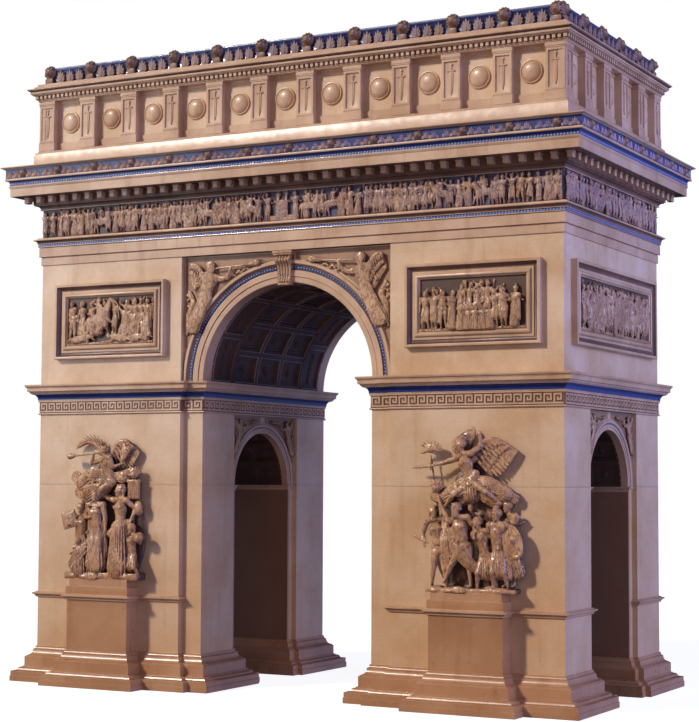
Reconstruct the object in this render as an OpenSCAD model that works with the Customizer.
// Triumphal arch, a 1:2 scale model of a great stone monument.
// Millimetres, +Z up. The origin is on the ground under the middle of the arch,
// the fronts face -Y and +Y, and the small ends face -X and +X.

/* [Overall size] */
// Half of the width, from the middle to an end wall
half_w = 11205; // [9500:5:13500]
// Half of the depth, from the middle to a front wall
half_d = 5065; // [4400:5:6100]

/* [Main passage] */
// Half of the clear width of the main passage, and the radius of its vault
main_half = 3650; // [3200:5:4200]
// Width of the archivolt round the main arch
main_ring = 835; // [600:5:1000]
// How far the main archivolt, its jambs and its spandrels lie behind the fronts
main_recess = 250; // [100:5:400]
// Strip left between an archivolt and the edge of the recess it stands in
bay_strip = 30; // [10:5:80]
// Height at which the main vault springs
main_spring = 11748; // [11000:1:12600]
// Number of wedge-shaped stones in each end band of the main vault
vault_stones = 12; // [8:1:20]
// Half of the length of the deeper, coffered middle of the main vault
coffer_half = 2700; // [1500:5:3400]
// How much further out the coffered middle of the vault lies
coffer_recess = 150; // [50:5:300]

/* [Side passages] */
// Half of the clear width of a side passage, and the radius of its vault
side_half = 2100; // [1750:5:2400]
// Width of the archivolt round a side arch
side_ring = 365; // [250:5:450]
// How far a side archivolt and its jambs lie behind the wall
side_recess = 200; // [100:5:300]
// Height at which the side vaults spring
side_spring = 7775; // [7000:5:7950]
// Thickness of the lining of a side vault
lining = 250; // [150:5:300]

/* [Heights] */
// Top of the ground plinth
plinth_top = 400; // [300:5:500]
// Top of the moulded base of the piers
base_top = 1358; // [1150:1:1500]
// Height of the string course round the piers
string_z = 3427; // [3000:1:3700]
// Underside of the key-pattern band below the main impost
band_z = 10550; // [10400:5:10700]
// Underside of the architrave
wall_top = 16587; // [16400:1:17200]
// Height of the architrave
architrave_h = 1113; // [900:1:1300]
// Height of the figure frieze
frieze_h = 1125; // [900:5:1400]
// Height of the bed moulding and its row of blocks
bed_h = 500; // [400:5:600]
// Height of the plain corona
corona_h = 323; // [260:1:400]
// Height of the blue hollow moulding above the corona
hollow_h = 303; // [240:1:380]
// Height of the gutter band
gutter_h = 543; // [450:1:640]
// Height of the step course below the attic
step_h = 727; // [600:1:870]
// Height of the attic wall
attic_h = 2035; // [1700:5:2400]
// Height of the attic cornice
attic_cornice_h = 500; // [400:5:600]
// Height of the cresting from its low wall to the tops of its heads
crest_h = 1014; // [850:1:1200]

/* [Projections] */
// How far the ground plinth stands out from the walls
plinth_out = 760; // [600:5:900]
// How far the upper block of the base stands out
block_out = 350; // [250:5:450]
// How far the string course stands out
string_out = 174; // [120:2:240]
// How far the small impost under the side vaults stands out
side_impost_out = 110; // [70:5:140]
// How far the top of the main impost stands out
impost_out = 473; // [380:1:560]
// How far the top of the architrave stands out
architrave_out = 284; // [220:2:340]
// How far the wall behind the row of blocks stands out
bed_out = 300; // [250:5:400]
// How far the blocks under the corona stand out
modillion_out = 560; // [450:5:680]
// How far the corona stands out
corona_out = 960; // [800:5:1050]
// How far the top of the gutter band stands out
gutter_out = 1254; // [1100:2:1400]
// How far the step course below the attic stands out
step_out = 310; // [240:5:380]
// How far the attic pilasters stand out
pilaster_out = 170; // [120:5:220]
// How far the attic cornice stands out
attic_cornice_out = 536; // [440:2:620]

/* [Blocks under the corona] */
// Width of one block
modillion_w = 210; // [140:5:260]
// Distance aimed at from block to block
modillion_pitch = 590; // [480:10:720]

/* [Pedestals and groups] */
// Distance of a pedestal's middle from the middle of the arch
ped_x = 7800; // [7400:5:8200]
// Half of the width of a pedestal's block
ped_half = 1410; // [1200:5:1600]
// How far a pedestal's block stands out from the front
ped_out = 750; // [600:5:900]
// Height of the two steps on top of a pedestal
ped_steps = 585; // [480:5:700]
// Height of a sculpture group
group_h = 5900; // [5200:10:6100]
// How far a sculpture group stands out from the front
group_out = 700; // [560:5:840]

/* [Relief panels] */
// Half of the outer width of the panel frames on the fronts
front_panel_half = 2615; // [2300:5:2800]
// Half of the outer width of the panel frames on the ends
end_panel_half = 4350; // [3800:5:4700]
// Height of the middle of the panels
panel_z = 14240; // [14150:5:14600]
// Outer height of the panel frames
panel_h = 3000; // [2600:5:3200]
// How far the panel frames stand out from the walls
frame_out = 250; // [150:5:320]
// Width of the border of a panel frame
frame_w = 560; // [400:5:640]
// Thickness of the carved slab inside a frame
slab_t = 170; // [80:5:220]

/* [Attic] */
// How far the attic walls lie behind the walls below
attic_in = 130; // [80:5:200]
// Thickness of the attic walls
attic_t = 600; // [450:10:750]
// Number of pilasters along a front
front_pilasters = 12; // [8:1:14]
// Number of pilasters along an end
end_pilasters = 6; // [4:1:7]
// Width of a pilaster
pilaster_w = 780; // [600:5:900]
// Radius of the round shields between the pilasters
shield_r = 430; // [300:5:520]

/* [Cresting] */
// Height of the cresting wall above the attic cornice
crest_wall_h = 900; // [700:5:960]
// Thickness of the cresting wall
crest_t = 250; // [200:5:350]
// How far the cresting wall lies behind the walls below
crest_in = 60; // [0:5:150]
// Radius of the round heads in front of the cresting wall
crest_r = 290; // [200:5:320]

/* [Hidden] */

// Heights that follow from the ones above
architrave_top = wall_top + architrave_h;
frieze_top = architrave_top + frieze_h;
bed_top = frieze_top + bed_h;
cornice_top = bed_top + corona_h + hollow_h + gutter_h;
step_top = cornice_top + step_h;
attic_top = step_top + attic_h;
attic_cornice_top = attic_top + attic_cornice_h;
terrace_z = attic_cornice_top + 220;
panel_base = panel_z - panel_h / 2;
ped_top = string_z + 113 + ped_steps;

main_edge = main_half + main_ring;
main_bay = main_edge + bay_strip;
side_edge = side_half + side_ring;
side_bay = side_edge + bay_strip;
bay_y = half_d - main_recess;
archivolt_t = 600;
side_archivolt_t = 300;
pilaster_foot = 360;
pilaster_head = 190;
fine = 128;
through = 100;
stone_joint = 0.5;

// Mouldings as courses of [height of the top, projection], from the bottom up
base_courses = [
    [plinth_top, plinth_out], [plinth_top + 75, 560], [plinth_top + 140, 440],
    [base_top - 400, block_out], [base_top - 260, 250], [base_top - 110, 130], [base_top, 55]
];
string_courses = [[string_z - 67, 70], [string_z + 53, string_out], [string_z + 113, 70]];
side_impost_courses = [
    [side_spring - 130, 35], [side_spring - 60, 70], [side_spring, side_impost_out]
];
impost_courses = [
    [band_z + 70, 71], [main_spring - 697, 35], [main_spring - 627, 71], [main_spring - 520, 130],
    [main_spring - 378, 250], [main_spring - 188, 340], [main_spring - 90, 400], [main_spring, impost_out]
];
architrave_courses = [
    [wall_top + 334, 50], [wall_top + 721, 115], [wall_top + 863, 165],
    [wall_top + 1030, architrave_out], [architrave_top, 110]
];
bed_courses = [[frieze_top + 110, 130], [frieze_top + 220, 250], [bed_top, bed_out]];
cornice_courses = [
    [bed_top + corona_h, corona_out], [bed_top + corona_h + 100, corona_out + 20],
    [bed_top + corona_h + hollow_h, corona_out + 95], [cornice_top - 463, gutter_out - 130],
    [cornice_top - 90, gutter_out - 110], [cornice_top, gutter_out]
];
step_courses = [[step_top - 180, step_out], [step_top - 60, 250], [step_top, 190]];
attic_cornice_courses = [
    [attic_top + 90, 220], [attic_top + 220, 300], [attic_top + 350, 400],
    [attic_cornice_top, attic_cornice_out], [attic_cornice_top + 110, 330], [terrace_z, 230]
];

// Height of the bottom of course i in a stack that starts at z
function below(courses, i, z) = i == 0 ? z : courses[i - 1][0];

// Outline of the front right pier, grown by p on every side
function pier_plan(p) = [
    [main_bay - p, -half_d - p], [half_w + p, -half_d - p], [half_w + p, -side_bay + p],
    [half_w - side_recess + p, -side_bay + p], [half_w - side_recess + p, -side_half + p],
    [main_half + side_recess - p, -side_half + p], [main_half + side_recess - p, -side_bay + p],
    [main_half - p, -side_bay + p], [main_half - p, -bay_y - p], [main_bay - p, -bay_y - p]
];

// Outline of the whole right half above the side vault, grown by p on every side
function half_plan(p) = [
    [main_bay - p, -half_d - p], [half_w + p, -half_d - p], [half_w + p, half_d + p],
    [main_bay - p, half_d + p], [main_bay - p, bay_y + p], [main_half - p, bay_y + p],
    [main_half - p, -bay_y - p], [main_bay - p, -bay_y - p]
];

// Outline of the whole right half with the recesses of both arches, from x = start outwards
function recessed_plan(start) = [
    [start, -bay_y], [main_bay, -bay_y], [main_bay, -half_d], [half_w, -half_d],
    [half_w, half_d], [main_bay, half_d], [main_bay, bay_y], [start, bay_y]
];

// Middle of place i of n, spread evenly over a length that ends at plus and minus reach
function spread(i, n, reach) = -reach + 2 * reach * i / (n - 1);

// Puts the front right quarter at one of the four corners
module corner(left, back) {
    mirror([left ? 1 : 0, 0, 0])
        mirror([0, back ? 1 : 0, 0])
            children();
}

// Mirrors to the left side
module side(left) {
    mirror([left ? 1 : 0, 0, 0]) children();
}

// A rectangular block from its lowest and highest corners
module block(low, high) {
    translate(low) cube(high - low);
}

// A full rectangular course from z0 to z1 that stands out by p from the walls
module slab(z0, z1, p) {
    block([-half_w - p, -half_d - p, z0], [half_w + p, half_d + p, z1]);
}

// A stack of full rectangular courses
module slabs(courses, z) {
    for (i = [0:len(courses) - 1])
        slab(below(courses, i, z), courses[i][0], courses[i][1]);
}

// A half ring that stands on height z, runs along Y from y0 to y1
module ring_y(r_in, r_out, y0, y1, z) {
    translate([0, y1, z])
        rotate([90, 0, 0])
            difference() {
                cylinder(r = r_out, h = y1 - y0, $fn = fine);
                translate([0, 0, -through]) cylinder(r = r_in, h = y1 - y0 + 2 * through, $fn = fine);
                translate([-r_out - through, -r_out - through, -through])
                    cube([2 * (r_out + through), r_out + through, y1 - y0 + 2 * through]);
            }
}

// A half ring that stands on height z, runs along X from x0 to x1
module ring_x(r_in, r_out, x0, x1, z) {
    rotate([0, 0, 90]) ring_y(r_in, r_out, -x1, -x0, z);
}

// A full round bar along X, used to cut vaults
module bar_x(r, x0, x1, z) {
    translate([x0, 0, z]) rotate([0, 90, 0]) cylinder(r = r, h = x1 - x0, $fn = fine);
}

// A full round bar along Y, used to cut vaults
module bar_y(r, y0, y1, z) {
    translate([0, y1, z]) rotate([90, 0, 0]) cylinder(r = r, h = y1 - y0, $fn = fine);
}

// Moulded base of the front right pier, cut back where the pedestal's own base stands
module base() {
    color("peru")
        difference() {
            for (i = [0:len(base_courses) - 1])
                translate([0, 0, below(base_courses, i, 0)])
                    linear_extrude(base_courses[i][0] - below(base_courses, i, 0))
                        polygon(pier_plan(base_courses[i][1]));
            pedestal_core();
        }
}

// Body of the front right pier, with the string course round its two outer faces
// and the small impost along the side passage
module pier() {
    color("burlywood")
        difference() {
            union() {
                translate([0, 0, base_top])
                    linear_extrude(side_spring - base_top) polygon(pier_plan(0));
                for (i = [0:len(string_courses) - 1])
                    string_course(below(string_courses, i, string_z - 127), string_courses[i][0],
                                  string_courses[i][1]);
                for (i = [0:len(side_impost_courses) - 1])
                    side_impost_course(below(side_impost_courses, i, side_spring - 200),
                                       side_impost_courses[i][0], side_impost_courses[i][1]);
            }
            pedestal_core();
        }
}

// One course of the string course, with short returns into both recesses
module string_course(z0, z1, p) {
    block([main_bay - p, -half_d - p, z0], [half_w + p, -side_bay + p, z1]);
}

// One course of the small impost, which runs along the side passage and turns over its jambs
module side_impost_course(z0, z1, p) {
    block([main_half + side_recess - p, -side_bay, z0],
          [half_w - side_recess + p, -side_half + p, z1]);
}

// The block that the pedestal takes up in front of the pier
module pedestal_core() {
    block([ped_x - ped_half, -half_d - ped_out - plinth_out, -through],
          [ped_x + ped_half, -half_d, ped_top]);
}

// One course of the pedestal, grown by p to the front and the sides
module ped_course(z0, z1, p) {
    block([ped_x - ped_half - p, -half_d - ped_out - p, z0], [ped_x + ped_half + p, -half_d, z1]);
}

// Front right pedestal: block, moulded base, cap and two steps, outside the pier's own courses
module pedestal() {
    color("peru")
        difference() {
            union() {
                ped_course(0, string_z - 127, 0);
                for (i = [0:len(base_courses) - 1])
                    ped_course(below(base_courses, i, 0), base_courses[i][0], base_courses[i][1]);
                for (i = [0:len(string_courses) - 1])
                    ped_course(below(string_courses, i, string_z - 127), string_courses[i][0],
                               string_courses[i][1]);
                ped_course(string_z + 113, string_z + 113 + ped_steps * 0.5, 40);
                ped_course(string_z + 113 + ped_steps * 0.5, ped_top, -60);
            }
            beside_pedestal(1);
            beside_pedestal(-1);
        }
}

// Space of the pier's own courses on one side of the pedestal
module beside_pedestal(way) {
    for (i = [0:len(base_courses) - 1])
        beside_course(way, below(base_courses, i, 0), base_courses[i][0], base_courses[i][1]);
    for (i = [0:len(string_courses) - 1])
        beside_course(way, below(string_courses, i, string_z - 127), string_courses[i][0],
                      string_courses[i][1]);
}

// Space of one of the pier's courses beside the pedestal
module beside_course(way, z0, z1, p) {
    translate([ped_x, 0, 0])
        mirror([way < 0 ? 1 : 0, 0, 0])
            block([ped_half, -half_d - p, z0], [ped_half + 2 * plinth_out, -half_d + through, z1]);
}

// Closed outline of a sculpture group; lean sets to which side its raised arm and wing reach
module group(lean) {
    color("sienna")
        translate([ped_x, -half_d, ped_top])
            mirror([lean < 0 ? 1 : 0, 0, 0])
                rotate([90, 0, 0])
                    linear_extrude(group_out)
                        polygon([
                            [-ped_half + 60, 0], [ped_half - 60, 0], [1650, group_h * 0.2],
                            [2050, group_h * 0.38], [2050, group_h * 0.6], [1200, group_h * 0.76],
                            [650, group_h], [-350, group_h], [-1000, group_h * 0.86],
                            [-2250, group_h * 0.8], [-2250, group_h * 0.66], [-1400, group_h * 0.5],
                            [-1500, group_h * 0.25]
                        ]);
}

// Wall over the right side passage, from the springing of its vault to the key-pattern band
module side_wall() {
    inner_face = main_half + side_recess;
    outer_face = half_w - side_recess;
    color("burlywood")
        difference() {
            translate([0, 0, side_spring])
                linear_extrude(band_z - side_spring) polygon(recessed_plan(main_half));
            block([0, -side_bay, side_spring - through], [inner_face, side_bay, band_z + through]);
            block([outer_face, -side_bay, side_spring - through],
                  [half_w + through, side_bay, band_z + through]);
            bar_x(side_half + lining, 0, half_w + through, side_spring);
            bar_x(side_edge, 0, inner_face + side_archivolt_t, side_spring);
            bar_x(side_edge, outer_face - side_archivolt_t, half_w + through, side_spring);
        }
}

// Linings of the two side vaults, between their archivolts
module side_vaults() {
    color("saddlebrown")
        for (left = [false, true])
            side(left)
                ring_x(side_half, side_half + lining, main_half + side_recess + side_archivolt_t,
                       half_w - side_recess - side_archivolt_t, side_spring);
}

// Key-pattern band and impost round the right half
module impost() {
    color("tan")
        for (i = [0:len(impost_courses) - 1])
            translate([0, 0, below(impost_courses, i, band_z)])
                linear_extrude(impost_courses[i][0] - below(impost_courses, i, band_z))
                    polygon(half_plan(impost_courses[i][1]));
}

// Right half of the wall above the impost, round the main vault
module upper_wall() {
    color("burlywood")
        difference() {
            translate([0, 0, main_spring])
                linear_extrude(wall_top - main_spring) polygon(recessed_plan(0));
            bar_y(main_edge, -half_d - through, half_d + through, main_spring);
            keystone_blocks();
        }
}

// The two end bands of the main vault, behind the archivolts, each laid in wedge-shaped stones
module main_vault_ends() {
    color("saddlebrown")
        for (back = [false, true])
            corner(false, back)
                difference() {
                    ring_y(main_half, main_edge, -bay_y + archivolt_t, -coffer_half, main_spring);
                    for (i = [1:vault_stones - 1])
                        translate([0, 0, main_spring])
                            rotate([0, -180 * i / vault_stones, 0])
                                block([main_half - through, -half_d, -stone_joint / 2],
                                      [main_edge + through, 0, stone_joint / 2]);
                }
}

// The coffered middle of the main vault
module main_vault_middle() {
    color("saddlebrown")
        ring_y(main_half + coffer_recess, main_edge, -coffer_half, coffer_half, main_spring);
}

// Archivolts of the two fronts with their two outer mouldings, cut for the keystones
module main_archivolts() {
    color("tan")
        difference() {
            for (back = [false, true])
                corner(false, back) {
                    ring_y(main_half, main_edge, -bay_y, -bay_y + archivolt_t, main_spring);
                    ring_y(main_edge - 330, main_edge, -bay_y - 70, -bay_y, main_spring);
                    ring_y(main_edge - 150, main_edge, -bay_y - 140, -bay_y - 70, main_spring);
                }
            keystone_blocks();
        }
}

// Archivolts of the four ends of the side passages
module side_archivolts() {
    inner_face = main_half + side_recess;
    outer_face = half_w - side_recess;
    color("tan")
        for (left = [false, true])
            side(left) {
                ring_x(side_half, side_edge, outer_face - side_archivolt_t, outer_face, side_spring);
                ring_x(side_edge - 110, side_edge, outer_face, outer_face + 60, side_spring);
                ring_x(side_half, side_edge, inner_face, inner_face + side_archivolt_t, side_spring);
                ring_x(side_edge - 110, side_edge, inner_face - 60, inner_face, side_spring);
            }
}

// Wedge-shaped keystones of the two fronts, let into the archivolt and the wall behind it
module keystone_blocks() {
    foot_half = 260;
    head_half = 360;
    foot_z = main_spring + main_half - 60;
    for (back = [false, true])
        corner(false, back)
            translate([0, -bay_y + 200, 0])
                rotate([90, 0, 0])
                    linear_extrude(main_recess + 200 + 260)
                        polygon([
                            [-foot_half, foot_z], [foot_half, foot_z],
                            [head_half, wall_top], [-head_half, wall_top]
                        ]);
}

// Keystones of the two fronts
module keystones() {
    color("peru") keystone_blocks();
}

// Carved slab in the spandrel right of an arch that stands along -Y on the plane y = 0
module spandrel(from_x, to_x, from_z, to_z, edge, spring, t) {
    rotate([90, 0, 0])
        linear_extrude(t)
            difference() {
                translate([from_x, from_z]) square([to_x - from_x, to_z - from_z]);
                translate([0, spring]) circle(r = edge + 50, $fn = fine);
            }
}

// Carved flying figures in the four spandrels of the main arch
module main_spandrels() {
    color("sienna")
        for (left = [false, true])
            for (back = [false, true])
                corner(left, back)
                    translate([0, -bay_y, 0])
                        spandrel(440, main_bay - 60, main_spring + 1300, wall_top - 60,
                                 main_edge, main_spring, slab_t);
}

// Carved slabs in the spandrels at the four ends of the side passages
module side_spandrels() {
    color("sienna")
        for (turn = [90, -90])
            rotate([0, 0, turn])
                for (flip = [0, 1])
                    mirror([flip, 0, 0]) {
                        translate([0, -half_w + side_recess, 0])
                            spandrel(200, side_bay - 40, side_spring + 900, band_z - 40,
                                     side_edge, side_spring, 100);
                        translate([0, -main_half - side_recess, 0])
                            mirror([0, 1, 0])
                                spandrel(200, side_bay - 40, side_spring + 900, band_z - 40,
                                         side_edge, side_spring, 100);
                    }
}

// One panel frame on a wall: outline in X and Z, standing out along -Y
module panel_frame(half) {
    rotate([90, 0, 0])
        difference() {
            translate([-half, panel_base]) linear_extrude(frame_out) square([2 * half, panel_h]);
            translate([-half + 110, panel_base + 110, frame_out - 150])
                linear_extrude(150 + through) square([2 * half - 220, panel_h - 220]);
            translate([-half + frame_w, panel_base + frame_w, -through])
                linear_extrude(frame_out + 2 * through)
                    square([2 * (half - frame_w), panel_h - 2 * frame_w]);
        }
}

// The carved slab inside one panel frame
module panel_relief(half) {
    block([-half + frame_w, -slab_t, panel_base + frame_w],
          [half - frame_w, 0, panel_base + panel_h - frame_w]);
}

// Puts a front-panel shape on both halves of both fronts
module on_fronts() {
    for (left = [false, true])
        for (back = [false, true])
            corner(left, back)
                translate([ped_x, -half_d, 0]) children();
}

// Puts an end-panel shape on both ends
module on_ends() {
    for (turn = [90, -90])
        rotate([0, 0, turn])
            translate([0, -half_w, 0]) children();
}

// Frames of the six relief panels
module panel_frames() {
    color("tan") {
        on_fronts() panel_frame(front_panel_half);
        on_ends() panel_frame(end_panel_half);
    }
}

// Carved slabs of the six relief panels
module panel_reliefs() {
    color("sienna") {
        on_fronts() panel_relief(front_panel_half);
        on_ends() panel_relief(end_panel_half);
    }
}

// Architrave: two fasciae, bead and top moulding
module architrave() {
    color("tan") slabs(architrave_courses, wall_top);
}

// Figure frieze
module frieze() {
    color("sienna") slab(architrave_top, frieze_top, 40);
}

// Bed moulding under the row of blocks
module bed_moulding() {
    color("peru") slabs(bed_courses, frieze_top);
}

// Row of small blocks that carries the corona on all four sides
module modillions() {
    nx = round(2 * (half_w + bed_out) / modillion_pitch);
    ny = round(2 * (half_d + bed_out) / modillion_pitch);
    reach = modillion_out - modillion_w / 2;
    color("peru")
        for (back = [false, true])
            corner(false, back) {
                for (i = [0:nx])
                    translate([spread(i, nx + 1, half_w + reach), -half_d, 0]) modillion();
                for (left = [false, true])
                    side(left)
                        rotate([0, 0, 90])
                            for (i = [1:floor(ny / 2)])
                                translate([spread(i, ny + 1, half_d + reach), -half_w, 0]) modillion();
            }
}

// One block of the row under the corona, standing out along -Y
module modillion() {
    block([-modillion_w / 2, -modillion_out, frieze_top + 240], [modillion_w / 2, -bed_out, bed_top]);
}

// Corona, blue hollow moulding and gutter band
module main_cornice() {
    color("tan") slabs(cornice_courses, bed_top);
}

// Step course that carries the attic
module attic_steps() {
    color("tan") slabs(step_courses, cornice_top);
}

// Long attic walls on both fronts
module attic_long_walls() {
    color("burlywood")
        for (back = [false, true])
            corner(false, back)
                block([-half_w + attic_in, -half_d + attic_in, step_top],
                      [half_w - attic_in, -half_d + attic_in + attic_t, attic_top]);
}

// Short attic walls at both ends
module attic_end_walls() {
    color("burlywood")
        for (left = [false, true])
            side(left)
                block([half_w - attic_in - attic_t, -half_d + attic_in + attic_t, step_top],
                      [half_w - attic_in, half_d - attic_in - attic_t, attic_top]);
}

// Puts a shape, drawn on the plane y = 0 looking to -Y, at n places along both fronts,
// on a plane that lies back by d from the walls; first is 0 on the pilasters, 0.5 between them
module along_fronts(n, first, d) {
    for (back = [false, true])
        corner(false, back)
            for (i = [0:n - 1])
                translate([spread(i + first, front_pilasters, half_w + pilaster_out - pilaster_w / 2),
                           -half_d + d, 0])
                    children();
}

// The same along both ends
module along_ends(n, first, d) {
    for (turn = [90, -90])
        rotate([0, 0, turn])
            for (i = [0:n - 1])
                translate([spread(i + first, end_pilasters, half_d + pilaster_out - pilaster_w / 2),
                           -half_w + d, 0])
                    children();
}

// One pilaster standing out along -Y from the attic wall, with its foot and its head
module pilaster() {
    depth = attic_in + pilaster_out;
    block([-pilaster_w / 2, -depth - 20, step_top], [pilaster_w / 2, 0, step_top + pilaster_foot]);
    block([-pilaster_w / 2 + 30, -depth, step_top + pilaster_foot],
          [pilaster_w / 2 - 30, 0, attic_top - pilaster_head]);
    block([-pilaster_w / 2, -depth - 20, attic_top - pilaster_head], [pilaster_w / 2, 0, attic_top]);
}

// The sunk panel on the shaft of one pilaster
module pilaster_panel() {
    depth = attic_in + pilaster_out;
    block([-pilaster_w / 2 + 130, -depth - through, step_top + pilaster_foot + 110],
          [pilaster_w / 2 - 130, -depth + 50, attic_top - pilaster_head - 110]);
}

// Pilasters on all four sides of the attic; those at the corners join up
module attic_pilasters() {
    color("tan")
        difference() {
            union() {
                along_fronts(front_pilasters, 0, attic_in) pilaster();
                along_ends(end_pilasters, 0, attic_in) pilaster();
            }
            along_fronts(front_pilasters, 0, attic_in) pilaster_panel();
            along_ends(end_pilasters, 0, attic_in) pilaster_panel();
        }
}

// One domed round shield standing out along -Y from the attic wall
module shield() {
    translate([0, 0, step_top + attic_h * 0.56])
        rotate([90, 0, 0]) {
            cylinder(r = shield_r, h = 70, $fn = 64);
            translate([0, 0, 70]) cylinder(r = shield_r * 0.8, h = 50, $fn = 64);
            translate([0, 0, 120]) cylinder(r = shield_r * 0.35, h = 50, $fn = 64);
        }
}

// Shields between the pilasters on all four sides
module attic_shields() {
    color("peru") {
        along_fronts(front_pilasters - 1, 0.5, attic_in) shield();
        along_ends(end_pilasters - 1, 0.5, attic_in) shield();
    }
}

// Attic cornice, a closed slab with two steps that is also the terrace
module attic_cornice() {
    color("tan") slabs(attic_cornice_courses, attic_top);
}

// Wall of the cresting round the terrace
module cresting_wall() {
    color("slategray")
        difference() {
            slab(terrace_z, attic_cornice_top + crest_wall_h, -crest_in);
            slab(terrace_z - through, attic_cornice_top + crest_wall_h + through, -crest_in - crest_t);
        }
}

// Round heads in front of the cresting wall, above the pilasters
module cresting_heads() {
    color("peru") {
        along_fronts(front_pilasters, 0, crest_in) crest_head();
        along_ends(end_pilasters, 0, crest_in) crest_head();
    }
}

// One head of the cresting, a round disc on a foot, standing out along -Y from its wall
module crest_head() {
    head_z = attic_cornice_top + crest_h - crest_r;
    depth = crest_in + 140;
    translate([0, 0, head_z]) rotate([90, 0, 0]) cylinder(r = crest_r, h = depth, $fn = 64);
    block([-crest_r * 0.6, -depth, terrace_z], [crest_r * 0.6, 0, head_z]);
}

corner(true, false) base();  // base_front_left
corner(false, false) base();  // base_front_right
corner(true, true) base();  // base_back_left
corner(false, true) base();  // base_back_right
corner(true, false) pier();  // pier_front_left
corner(false, false) pier();  // pier_front_right
corner(true, true) pier();  // pier_back_left
corner(false, true) pier();  // pier_back_right
corner(true, false) pedestal();  // pedestal_front_left
corner(false, false) pedestal();  // pedestal_front_right
corner(true, true) pedestal();  // pedestal_back_left
corner(false, true) pedestal();  // pedestal_back_right
corner(true, false) group(-1);  // group_front_left
corner(false, false) group(1);  // group_front_right
corner(true, true) group(-1);  // group_back_left
corner(false, true) group(1);  // group_back_right
side(true) side_wall();  // side_wall_left
side(false) side_wall();  // side_wall_right
side_vaults();
side(true) impost();  // impost_left
side(false) impost();  // impost_right
side(true) upper_wall();  // upper_wall_left
side(false) upper_wall();  // upper_wall_right
main_vault_ends();
main_vault_middle();
main_archivolts();
side_archivolts();
keystones();
main_spandrels();
side_spandrels();
panel_frames();
panel_reliefs();
architrave();
frieze();
bed_moulding();
modillions();
main_cornice();
attic_steps();
attic_long_walls();
attic_end_walls();
attic_pilasters();
attic_shields();
attic_cornice();
cresting_wall();
cresting_heads();
